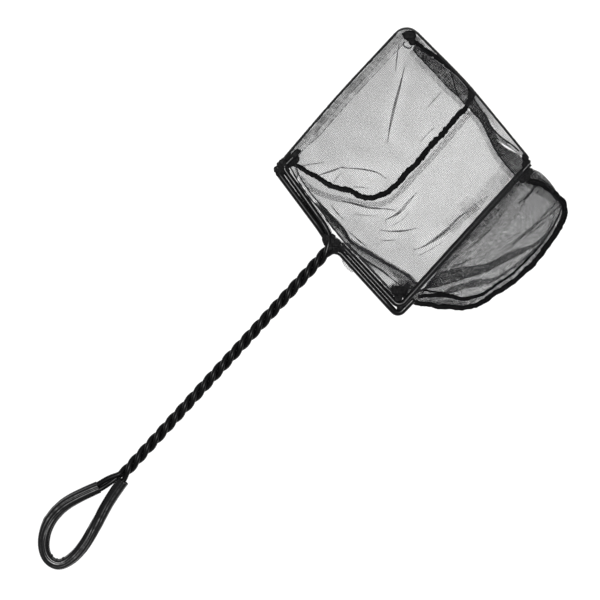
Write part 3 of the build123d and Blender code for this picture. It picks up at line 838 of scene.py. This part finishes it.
def rolled(heap, line, size, seed, sides=6):
    """A rolled or turned edge: an uneven cord along a line."""
    n = len(line)
    ups = np.repeat(np.array([[[0.0, 0.0, 1.0]]]), n, 1)
    verts, quads, caps = tubes(line[None], ups, (size * (1 + 0.3 * soft_noise(n, 5, seed)))[None], sides)
    heap.add(verts, quads, caps)


heap = Heap()
net(heap, sleeve_round(spline(left_wire, 200), SLIM), spread=False, pitch=1.1)
net(heap, laid_on(left_s, (0, 0.056), (0.06, 0.955), 0.5), radius=0.055)
net(heap, laid_on(left_s, (0, 0.098), (0.06, 0.95), 0.9), radius=0.036)
rolled(heap, laid_on(left_s, (0.054, 0.06), (0.07, 0.95), 0.8)[0], 0.11, 51)
rolled(heap, laid_on(left_s, (0.098, 0.104), (0.08, 0.95), 0.9)[0], 0.15, 52)
left_hem = heap.piece("left_hem_net", MESH, "OFBake")

far_in = [(413, 49.5, 7), (419, 56.5, 7), (426, 63.9, 7), (437.7, 76.2, 7), (447.7, 87.2, 7), (459.3, 97.6, 7.2), (464.5, 104, 7.3), (470.6, 109.4, 7.6),
          (481.3, 121.7, 8.4), (485.6, 129.5, 8.6), (489.2, 137.2, 8.6), (497.2, 152.6, 8.4), (507.1, 165.9, 7.4), (513, 172.5, 6), (517.5, 177, 5)]
far_out = [(415, 44, 2.6), (422, 49.4, 2.3), (432, 57.2, 2.2), (445.8, 67.2, 2.2), (456.5, 75.9, 2.2), (466.5, 87.3, 2.4), (471, 97, 2.8), (475.3, 104.2, 3.3),
           (485.7, 116.8, 4), (490.4, 124.6, 4.3), (494.3, 131.7, 4.3), (503.4, 146.4, 4.2), (515.4, 153.8, 3.6), (523.4, 158.8, 2.8), (527.4, 164.4, 2.4)]
far_raw = [(x - 4.0, y + 3.6, b + 0.8) for x, y, b in far_in]
strand = [(473, 97.5, 3.0), (476.6, 103.8, 3.6), (486.1, 116.7, 4.2), (490.9, 126.2, 4.4), (499.5, 135.8, 4.2), (506, 140.8, 3.9), (512.9, 145.6, 3.4), (519, 151, 2.8)]
heap = Heap()
net(heap, sleeve_round(spline(far_wire, 200), SLIM), spread=False, pitch=1.1)
shelf = seen_below([(470.8, 94.4, 2.0), (473.4, 98.6, 2.2), (478, 104, 2.5), (487.6, 117, 2.9), (493.4, 126, 3.1), (500.6, 138.6, 3.0), (510.6, 147.4, 2.6), (523, 157, 2.0)])
for drop, seed in ((0.3, 71), (1.1, 72)):
    net(heap, ruffle(strip(np.concatenate([[0.5 * (far_wire[3] + far_wire[4])], far_wire[4:]]) + np.array([-0.7, 0, -drop]), shelf + np.array([0, 0, 0.3 - 0.5 * drop]), 160, 8), 0.3, 16, seed), radius=0.085 if seed == 71 else 0.03)
rolled(heap, spline(seen_below([(499, 121, 0.4), (508.6, 132.4, 0.4), (516, 142.6, 0.4), (523, 152.4, 0.4), (528, 159, 0.4)]), 80), 0.3, 73, 7)
for part, layers in ((slice(0, 7), ((0.0, 81), (0.8, 82), (1.6, 86))), (slice(6, None), ((0.0, 83), (1.2, 84)))):
    casing = strip(seen_below(far_out[part]), seen_below(far_in[part]), 200, 14)
    bow = np.sin(math.pi * np.linspace(0, 1, 14))[:, None]
    for off, seed in layers:
        layer = casing.copy()
        layer[..., 2] += bow * (0.9 - off) - off * 0.6 + waves(layer, 0.5, 8.0, seed)
        net(heap, layer, hole=in_slit, pitch=1.25 if seed == 86 else PITCH)
for part, seed in ((slice(0, 7), 74), (slice(7, None), 75)):
    net(heap, ruffle(strip(seen_below(far_in[part]), seen_below(far_raw[part]), 160, 5), 0.5, 18, seed), radius=0.055)
rolled(heap, spline(seen_below(far_in[:7]), 140), 0.42, 76, 7)
rolled(heap, spline(seen_below(far_in[7:]), 140), 0.6, 77, 7)
rolled(heap, spline(seen_below(strand), 120), 0.55, 78, 7)
rolled(heap, spline(seen_below([(450.5, 71.7, 3.4), (452.6, 78, 3.6), (455, 87, 4.2), (458.4, 97, 5.4)]), 60), 0.6, 79, 7)
rolled(heap, spline(seen_below([(404.8, 42.0, 0.6), (403.2, 43.8, 0.6), (404.4, 46.2, 0.8), (407.4, 47.8, 0.8), (410.2, 48.0, 0.8), (411.6, 46.2, 0.8)]), 70), 0.42, 87, 7)
gathered = strip(seen([(529, 168, 23), (540, 172.6, 20.6), (548, 180, 17), (555, 189, 12.6)]), seen([(525.5, 176, 22), (535, 180, 19.6), (544, 184, 16.6), (553, 193, 11)]), 80, 8)
for off, seed in ((0.0, 161), (0.7, 162), (1.4, 163)):
    layer = gathered.copy()
    layer[..., 2] += waves(layer, 0.6, 5.0, seed) - off
    net(heap, layer)
far_hem = heap.piece("far_hem_net", MESH, "OFBake")

near_back = [(20.6, 57.4, 1.4), (19.0, 52.0, 1.2), (17.6, 48, 0.7), (13.6, 31, 0.6), (12.4, 20.5, 0.6), (9.6, 10, 0.6), (8.2, 0, 0.6), (6.8, -9.5, 0.6), (7.0, -18, 0.6), (8.4, -28, 0.6),
             (9.9, -37.4, 0.6), (10.6, -48, 0.9), (11.6, -55, 1.4), (14.4, -60.6, 1.7)]
heap = Heap()
hem = strip(below(near_back), below([(25.2, 57.4, 1.6)] + near_top + [(20.4, -61.8, 1.7)]), 240, 9)
bow = np.sin(math.pi * np.linspace(0, 1, 9))[:, None]
for off, seed, part in ((0.5, 91, (72, 240)), (-0.5, 92, (112, 240)), (0.6, 95, (0, 22)), (1.1, 97, (64, 112)), (1.6, 98, (70, 108)), (-1.0, 99, (68, 110))):
    layer = hem.copy()
    layer[..., 2] += bow * off + waves(layer, 0.25, 14.0, seed)
    net(heap, layer[:, part[0]:part[1]])
rolled(heap, hem[0] + np.array([0, 0, 0.1]), 0.5, 93, 8)
rolled(heap, hem[-1] + np.array([0, 0, 0.1]), np.interp(np.linspace(0, 1, 240), [0, 0.5, 0.62, 1], [0.36, 0.4, 0.7, 0.75]), 94, 8)
turned = strip(below([(x - 1.2, y, b) for x, y, b in near_top[7:]]), below([(x + 1.3, y, b + 0.8) for x, y, b in near_top[7:]]), 130, 5)
for off in (0.5, -0.3):
    net(heap, turned + np.array([0, 0, off]))
leaf = strip(seen_below([(322, 211, -0.8), (331, 219.5, -0.8), (339.5, 230, -0.8), (346, 238, -0.8), (350, 241.5, -0.6)]),
             seen_below([(328.5, 212.6, -0.8), (338, 221, -0.8), (345.3, 230, -0.8), (349.2, 237, -0.8), (351.5, 241.5, -0.6)]), 60, 6)
for off in (0.0, 0.5, 1.0):
    net(heap, leaf + np.array([0.05, 0, off]))
# the hem's gathered end, bound round the wires where the handle meets the hoop
for a, b in (([(333.5, 235.5), (340, 240), (348, 246.5), (357, 254)], [(333, 243), (337, 247), (344, 252.5), (352, 259)]),
             ([(316, 216), (321, 223.5), (326, 231), (331, 239)], [(321, 213.5), (326, 220.5), (330, 228), (333.5, 237)])):
    wrap = strip(seen_below([(x, y, -2.2) for x, y in a]), seen_below([(x, y, -1.8) for x, y in b]), 60, 6)
    for off in (0.0, -0.6, -1.2):
        net(heap, wrap + np.array([0, 0, off]))
# and its other end, bunched in the corner of the rail
corner = strip(seen_below([(384, 289, 1.2), (393.5, 283.5, 0.8), (402, 280.5, 0.6), (411, 281.5, 0.8)]), seen_below([(388, 294, 1.8), (396.5, 297.5, 1.6), (405, 296.5, 1.4), (413.5, 290.5, 1.4)]), 60, 12)
for off in (0.4, 0.0, -0.6, -1.2):
    net(heap, corner + np.array([0, 0, off]))
side_edge = below([(7.6, -7, 0.4), (7.4, -14, 0.4), (6.5, -24, 0.4), (5.4, -36, 0.4), (4.4, -48, 0.4), (4.6, -55, 1.2)])
rolled(heap, spline(side_edge, 120), 0.75, 95, 7)
# single cloth between the two edges, and the cloth that passes under the wires
net(heap, strip(side_edge[1:], below([(7.0, -18, 0.8), (8.2, -28, 0.8), (9.7, -37.4, 0.8), (10.4, -48, 1.0), (10.8, -54.5, 1.2)]), 120, 8))
for a, b in (([(4.4, 18, 2.5), (8.0, 37, 2.5), (11.6, 56, 2.5)], [(11.4, 18, 2.3), (14.8, 37, 2.3), (18.6, 54, 2.3)]),
             ([(0.3, -12, 2.5), (-2.0, -34, 2.5), (-4.2, -56, 2.6)], [(7.0, -16, 2.3), (5.5, -36, 2.3), (4.4, -54, 2.4)])):
    under = strip(below(a), below(b), 120, 7)
    net(heap, under)
    net(heap, under - np.array([0, 0, 0.5]))
scrap = strip(seen([(342.5, 257.5, 19), (345.5, 262.6, 19), (350, 268, 19), (353.5, 271, 19)]), seen([(342, 260.5, 17), (344, 264.8, 17), (348, 269.4, 17), (352, 272.4, 17.6)]), 40, 5)
net(heap, scrap, pitch=1.5)
near_hem = heap.piece("near_hem_net", MESH, "OFBake")

heap = Heap()
rail = lifted([(13.0, -62.6, 0), (60, -62.6, 0), (90, -62.6, 0), (123.5, -62.6, 0)])
net(heap, sleeve_round(even_line(rail, 220), 1.93, 17), spread=False, pitch=0.75)
net(heap, sleeve_round(even_line(rail, 220), 2.2, 17), spread=False, pitch=0.9)
net(heap, laid_on(right_s, (0, 0.06), (0.12, 0.96), 0.5), pitch=0.98)
net(heap, laid_on(right_s, (0, 0.13), (0.5, 0.96), 0.9), radius=0.045)
right_hem = heap.piece("right_hem_net", MESH, "OFBake")

# ---- bound seams --------------------------------------------------------------------------------
left_path = even_line(np.concatenate([spline(seen(LEFT_NEAR), 200)[:-1], spline(seen(LEFT_FLOOR), 300)[:-1], spline(seen(LEFT_FAR), 240)]), 300)
right_path = even_line(np.concatenate([spline(seen(RIGHT_NEAR), 200)[:-1], spline(seen(RIGHT_FLOOR), 300)[:-1], spline(seen(RIGHT_FAR), 200)]), 260)


def bound(name, path, width, seed, ragged):
    heap = Heap()
    p = path + np.array([0, 0, 0.25])
    p[:, 2] = np.maximum(p[:, 2], 0.75)
    ribbon(heap, p, width, 1.15, seed, ragged=ragged)
    return heap.piece(name, TAPE, "Weave")


left_seam = bound("left_seam_tape", left_path, np.interp(np.linspace(0, 1, 300), [0, 0.1, 0.24, 0.5, 0.68, 0.74, 0.78, 0.85, 0.89, 1], [3.2, 3.4, 4.0, 3.9, 4.1, 3.6, 1.7, 1.7, 3.0, 2.8]), 101, 0.26)
right_seam = bound("right_seam_tape", right_path, np.interp(np.linspace(0, 1, 260), [0, 0.2, 0.5, 0.8, 1], [3.6, 3.4, 3.6, 4.4, 4.0]), 111, 0.15)
inner_edge = seen([(418, 296.5, 13.5), (433.5, 295.2, 10.5), (448, 295.4, 8.4), (462.5, 299.2, 5.2), (478, 296, 3.6), (489.3, 289.4, 3.0), (500.4, 281.6, 2.6),
                   (512.7, 273.6, 2.5), (522.8, 263.6, 2.5), (534, 252.4, 2.5), (545, 238.8, 2.5), (553.4, 225.6, 2.6), (559, 214.5, 2.6)])
heap = Heap()
ribbon(heap, spline(inner_edge, 190), np.interp(np.linspace(0, 1, 190), [0, 0.3, 0.45, 1], [2.7, 2.7, 1.7, 1.1]), 0.8, 121, sway=0.3)
ribbon(heap, spline(seen([(415.5, 290.4, 14.6), (423, 290.4, 13.4), (431, 291.2, 12.0), (443.5, 293.2, 9.6), (454, 295.8, 7.4), (462, 298.4, 5.8)]), 90), 1.3, 0.7, 122, sway=0.3)
right_seam_inner = heap.piece("right_seam_inner_edge", TAPE, "Weave")

heap = Heap()
net(heap, strip(on_bed([(301.5, 176.6), (315, 188.8), (331, 195), (350, 198.8), (364, 202), (377, 202.4), (389, 197.8), (400, 188), (412, 174.5), (425, 161), (437, 147.5),
                       (450, 132.5), (462, 118), (468.5, 110.5)]),
                on_bed([(300, 180.6), (313.5, 193), (330, 199.6), (349, 203.4), (363, 207), (379, 207), (392.5, 201.5), (403.8, 191.4), (415.6, 178), (428.6, 164.4), (440.6, 151),
                        (453.6, 136), (465.6, 121.5), (472, 114)]), 260, 6), pitch=1.12)
left_allowance = heap.piece("left_seam_allowance", MESH, "OFBake")
heap = Heap()
net(heap, laid_on(bed_s, (0.3, 0.98), (0.945, 0.985), 0.5), pitch=1.7)
for start, inner, first, last in ((2.6, 10.5, 76, 121), (6.0, 14.0, 61, 86), (2.6, 5.5, 108, 121)):
    runs = np.linspace(first, last, 14)
    edge = 2.6 + inner + 1.1 * soft_noise(14, 2, int(inner * 10))
    net(heap, strip(on_bed([rail_px(x, start) for x in runs]), on_bed([rail_px(x, e) for x, e in zip(runs, edge)]), 150, 6), radius=0.034)
right_allowance = heap.piece("right_seam_allowance", MESH, "OFBake")

heap = Heap()
for path, seed in ((left_path, 131), (right_path, 132)):
    top = path[4:-4] + np.array([0, 0, 0.95])
    stitches(heap, top, 3.1, 2.1, 0.16, 0.1, 0.2, seed)
seam_stitches = heap.piece("seam_stitching", STITCH)

# ---- bunched tape ends at the corners -----------------------------------------------------------
heap = Heap()
for place, size, turn, seed in (((18.8, 60.2, 0.6), (8.8, 5.8, 4.6), 0.9, 201), ((23.6, 57.0, 1.2), (9.0, 5.0, 4.4), -0.2, 202), ((29.4, 58.9, -0.4), (8.0, 3.4, 3.8), -0.06, 203),
                                ((17.0, 57.2, 0.4), (6.4, 4.6, 4.0), 1.3, 204), ((15.2, 59.2, 0.2), (8.2, 5.4, 4.6), 1.2, 205), ((12.6, 58.2, 0.0), (6.0, 4.8, 4.4), 1.3, 206), ((13.6, 60.4, 0.2), (5.6, 4.6, 4.2), 0.7, 207), ((24.6, 61.2, 0.2), (4.6, 2.2, 2.4), 0.05, 208),
                                ((139.8, 55.8, 0.8), (8.0, 5.4, 4.4), -0.7, 211), ((138.8, 52.6, 1.8), (6.6, 5.0, 4.4), 0.9, 212),
                                ((138.4, -2.6, 1.4), (5.2, 4.0, 3.4), 0.8, 213), ((131.2, -57.6, 0.8), (5.4, 4.0, 3.6), 1.2, 224),
                                ((124.2, -65.2, 1.4), (7.6, 5.0, 4.2), -0.5, 221), ((121.0, -66.6, 1.8), (8.0, 4.8, 3.8), -0.3, 223), ((128.4, -60.8, 0.2), (6.2, 5.0, 4.4), 0.2, 222),
                                ((7.2, -55.8, 1.6), (8.6, 5.2, 3.8), 0.6, 231), ((5.8, -52.4, 1.4), (7.0, 4.6, 3.6), 0.9, 232), ((11.2, -57.0, 1.6), (8.0, 4.6, 3.6), 0.2, 233), ((4.2, -57.4, 0.4), (6.4, 5.0, 4.2), 0.5, 234), ((0.4, -62.3, 0.6), (5.0, 3.8, 3.0), 0.3, 235),
                                ((2.6, 2.2, -0.4), (7.4, 5.6, 4.8), 0.9, 241), ((3.0, -2.2, -0.2), (7.0, 5.4, 4.4), -0.9, 242), ((3.6, -6.6, 0.2), (5.4, 4.6, 4.0), 1.2, 243),
                                ((0.3, 4.4, -1.9), (7.4, 5.4, 3.6), 0.8, 244), ((-1.7, 0.4, -1.9), (6.4, 5.0, 3.6), 0.8, 245), ((-0.4, -4.8, -1.6), (6.4, 4.6, 3.6), -0.8, 246)):
    lump(heap, below([place])[0], size, turn, seed)
tacks = heap.piece("corner_tack_bunches", STITCH)

# ---- vinyl sleeve of the finger loop ------------------------------------------------------------
sleeve_route = lifted([(-227.7, 6.6, 0.0), (-245.2, 14.5, 0.0), (-259.5, 17.0, 0.0), (-272.4, 14.9, 0.0), (-283.4, 7.6, 0.0), (-288.1, -1.5, 0.0),
                       (-285.0, -10.4, 0.0), (-269.8, -13.5, 0.0), (-249.5, -9.9, 0.0), (-228.1, -4.2, 0.4), (-213.0, -2.8, 1.9)])
SL_N, SL_A = 300, 72
path = rounded(sleeve_route, SL_N)
t = unit(np.gradient(path, axis=0))
flat_up = np.array([-math.sin(TILT), 0, math.cos(TILT)])
side = unit(np.cross(t, flat_up))
up = np.cross(side, t)
run = np.linspace(0, 1, SL_N)[:, None]
ang = (np.arange(SL_A) * 2 * math.pi / SL_A)[None]
twist = 0.5 * np.sin(run * 5.0) + 0.25 * soft_noise(SL_N, 40, 301)[:, None]
bend = np.exp(-((run - 0.50) / 0.10)**2)
shape = 1.0 + 0.035 * np.cos(2 * ang)                                                # a little wider than high
shape = shape - 0.07 * np.exp(-((((ang - 0.62 + twist) + math.pi) % (2 * math.pi) - math.pi) / 0.16)**2)   # creases along the tube
shape = shape - 0.045 * np.exp(-((((ang - 1.55 + 0.8 * twist) + math.pi) % (2 * math.pi) - math.pi) / 0.13)**2)
shape = shape - 0.07 * np.exp(-((((ang - 2.35 + 1.1 * twist) + math.pi) % (2 * math.pi) - math.pi) / 0.18)**2)
hollow = np.exp(-((((ang - 1.45 + 0.6 * twist) + math.pi) % (2 * math.pi) - math.pi) / 0.34)**2)
shape = shape - 0.10 * hollow * np.clip((0.46 - run) / 0.06, 0, 1) - 0.055 * hollow * np.clip((run - 0.56) / 0.06, 0, 1)
shape = shape + 0.03 * np.cos(5 * (ang + twist)) * (0.7 + bend)
slit = ((ang - 2.95 + 0.35 * np.sin(run * 7) + math.pi) % (2 * math.pi)) - math.pi     # the split along the inside
shape = shape - 0.16 * np.exp(-(slit / 0.07)**2) * (0.35 + 0.65 * bend)
inside = np.exp(-((((ang - math.pi) + math.pi) % (2 * math.pi) - math.pi) / 0.55)**2)
teeth = np.clip(np.sin((run - 0.44) * 2 * math.pi / 0.045), 0, 1)**2 * ((run > 0.42) & (run < 0.56))
shape = shape + 0.16 * inside * teeth - 0.05 * inside * bend                           # puckers on the inside of the bend
shape = shape + 0.012 * soft_noise(SL_N, 6, 302)[:, None]
kink = np.exp(-((run - 0.275) / 0.012)**2)
shape = shape + 0.06 * kink * np.exp(-((ang + math.pi) % (2 * math.pi) - math.pi)**2 / 0.5)
heap = Heap()
rings = []
girth = np.interp(np.linspace(0, 1, SL_N), [0, 0.1, 0.3, 0.42, 0.52, 0.62, 1], [4.0, 4.3, 4.25, 3.7, 3.6, 3.9, 4.05])[:, None]
for r in (girth * shape, girth * shape - 0.5):
    rings.append(path[:, None] + r[..., None] * (np.cos(ang)[..., None] * side[:, None] + np.sin(ang)[..., None] * up[:, None]))
low = np.array([r[..., 2].min() for r in rings]).min()
outer, inner = rings
quads, _ = ring_faces(1, SL_N, SL_A)
k = SL_N * SL_A
a = np.arange(SL_A)
b = (a + 1) % SL_A
last = (SL_N - 1) * SL_A
inner_quads = quads.reshape(-1, 4)[:, ::-1] + k
ends = np.concatenate([np.stack([a, k + a, k + b, b], 1), np.stack([last + b, k + last + b, k + last + a, last + a], 1)])
heap.add(np.concatenate([outer.reshape(-1, 3), inner.reshape(-1, 3)]), np.concatenate([quads.reshape(-1, 4), inner_quads, ends]))
sleeve = heap.piece("grip_sleeve_vinyl", VINYL)
print("sleeve lowest", round(float(low), 3))

# ---- dipped coat of the hoop's wires along the handle side ---------------------------------------
heap = Heap()
for name, grow in (("left_inner_wire", 0.24), ("left_outer_wire", 0.24), ("right_outer_wire", 0.34), ("right_side_rail", 0.34)):
    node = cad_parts[name]
    data = node.data
    data.calc_loop_triangles()
    co, out = np.empty(len(data.vertices) * 3), np.empty(len(data.vertices) * 3)
    data.vertices.foreach_get("co", co)
    data.vertices.foreach_get("normal", out)
    tri = np.empty(len(data.loop_triangles) * 3, np.int32)
    data.loop_triangles.foreach_get("vertices", tri)
    turn = np.array(node.matrix_world)
    co, out = co.reshape(-1, 3) @ turn[:3, :3].T + turn[:3, 3], unit(out.reshape(-1, 3) @ turn[:3, :3].T)
    co = co * 1000
    far = np.clip((np.abs(co[:, 1] - SHIFT_Y) - 4.0) / 8.0, 0.06, 1)          # thinner where the wires leave the handle
    far = np.where((name == "right_side_rail") & (co[:, 0] - SHIFT_X > 8.0), 0.1, far)
    heap.add(co + out * (grow * far * (1 + 0.15 * noise3(co * 0.25, 401)))[:, None], tris=tri)
wire_coat = heap.piece("hoop_wire_coat", COAT)

# ---- finishes of the CAD nodes that stay, the CAD nodes each piece stands in for, and the pieces that ride on the frame ---
for name in ("handle_strand_a", "handle_strand_b", "handle_strand_c", "finger_loop_wire", "strand_tail", "left_inner_wire", "left_outer_wire",
             "right_outer_wire", "right_side_rail", "hoop_spring_wire"):
    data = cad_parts[name].data
    data.materials.clear()
    data.materials.append(SPRING if name == "hoop_spring_wire" else WIRE)

FRAME, FLOOR = "net_frame", "bag_floor"
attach(wire_coat, FRAME)
for piece, slot, nodes in (
        (left_panel, "net_mesh", ("left_panel",)), (right_panel, "net_mesh", ("right_panel",)),
        (centre_strip, "net_mesh", ("centre_panel_near_wall", "centre_panel_floor", "centre_panel_far_wall")),
        (left_seam, "seam_tape", ("left_seam_near_riser", "left_seam_floor", "left_seam_far_riser")),
        (right_seam, "seam_tape", ("right_seam_near_riser", "right_seam_floor", "right_seam_far_riser")),
        (right_seam_inner, "seam_tape", ()), (left_allowance, "net_mesh", ()), (right_allowance, "net_mesh", ()), (seam_stitches, "seam_tape", ())):
    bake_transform(piece)
    if nodes:
        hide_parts(*nodes)
for piece, slot, node in ((left_hem, "hem_mesh", "left_hem"), (far_hem, "hem_mesh", "far_hem"), (near_hem, "hem_mesh", "near_hem"), (right_hem, "hem_mesh", "right_hem"),
                          (tacks, "seam_tape", "corner_tacks"), (sleeve, "grip_vinyl", "grip_sleeve")):
    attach(piece, FRAME)
    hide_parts(node)
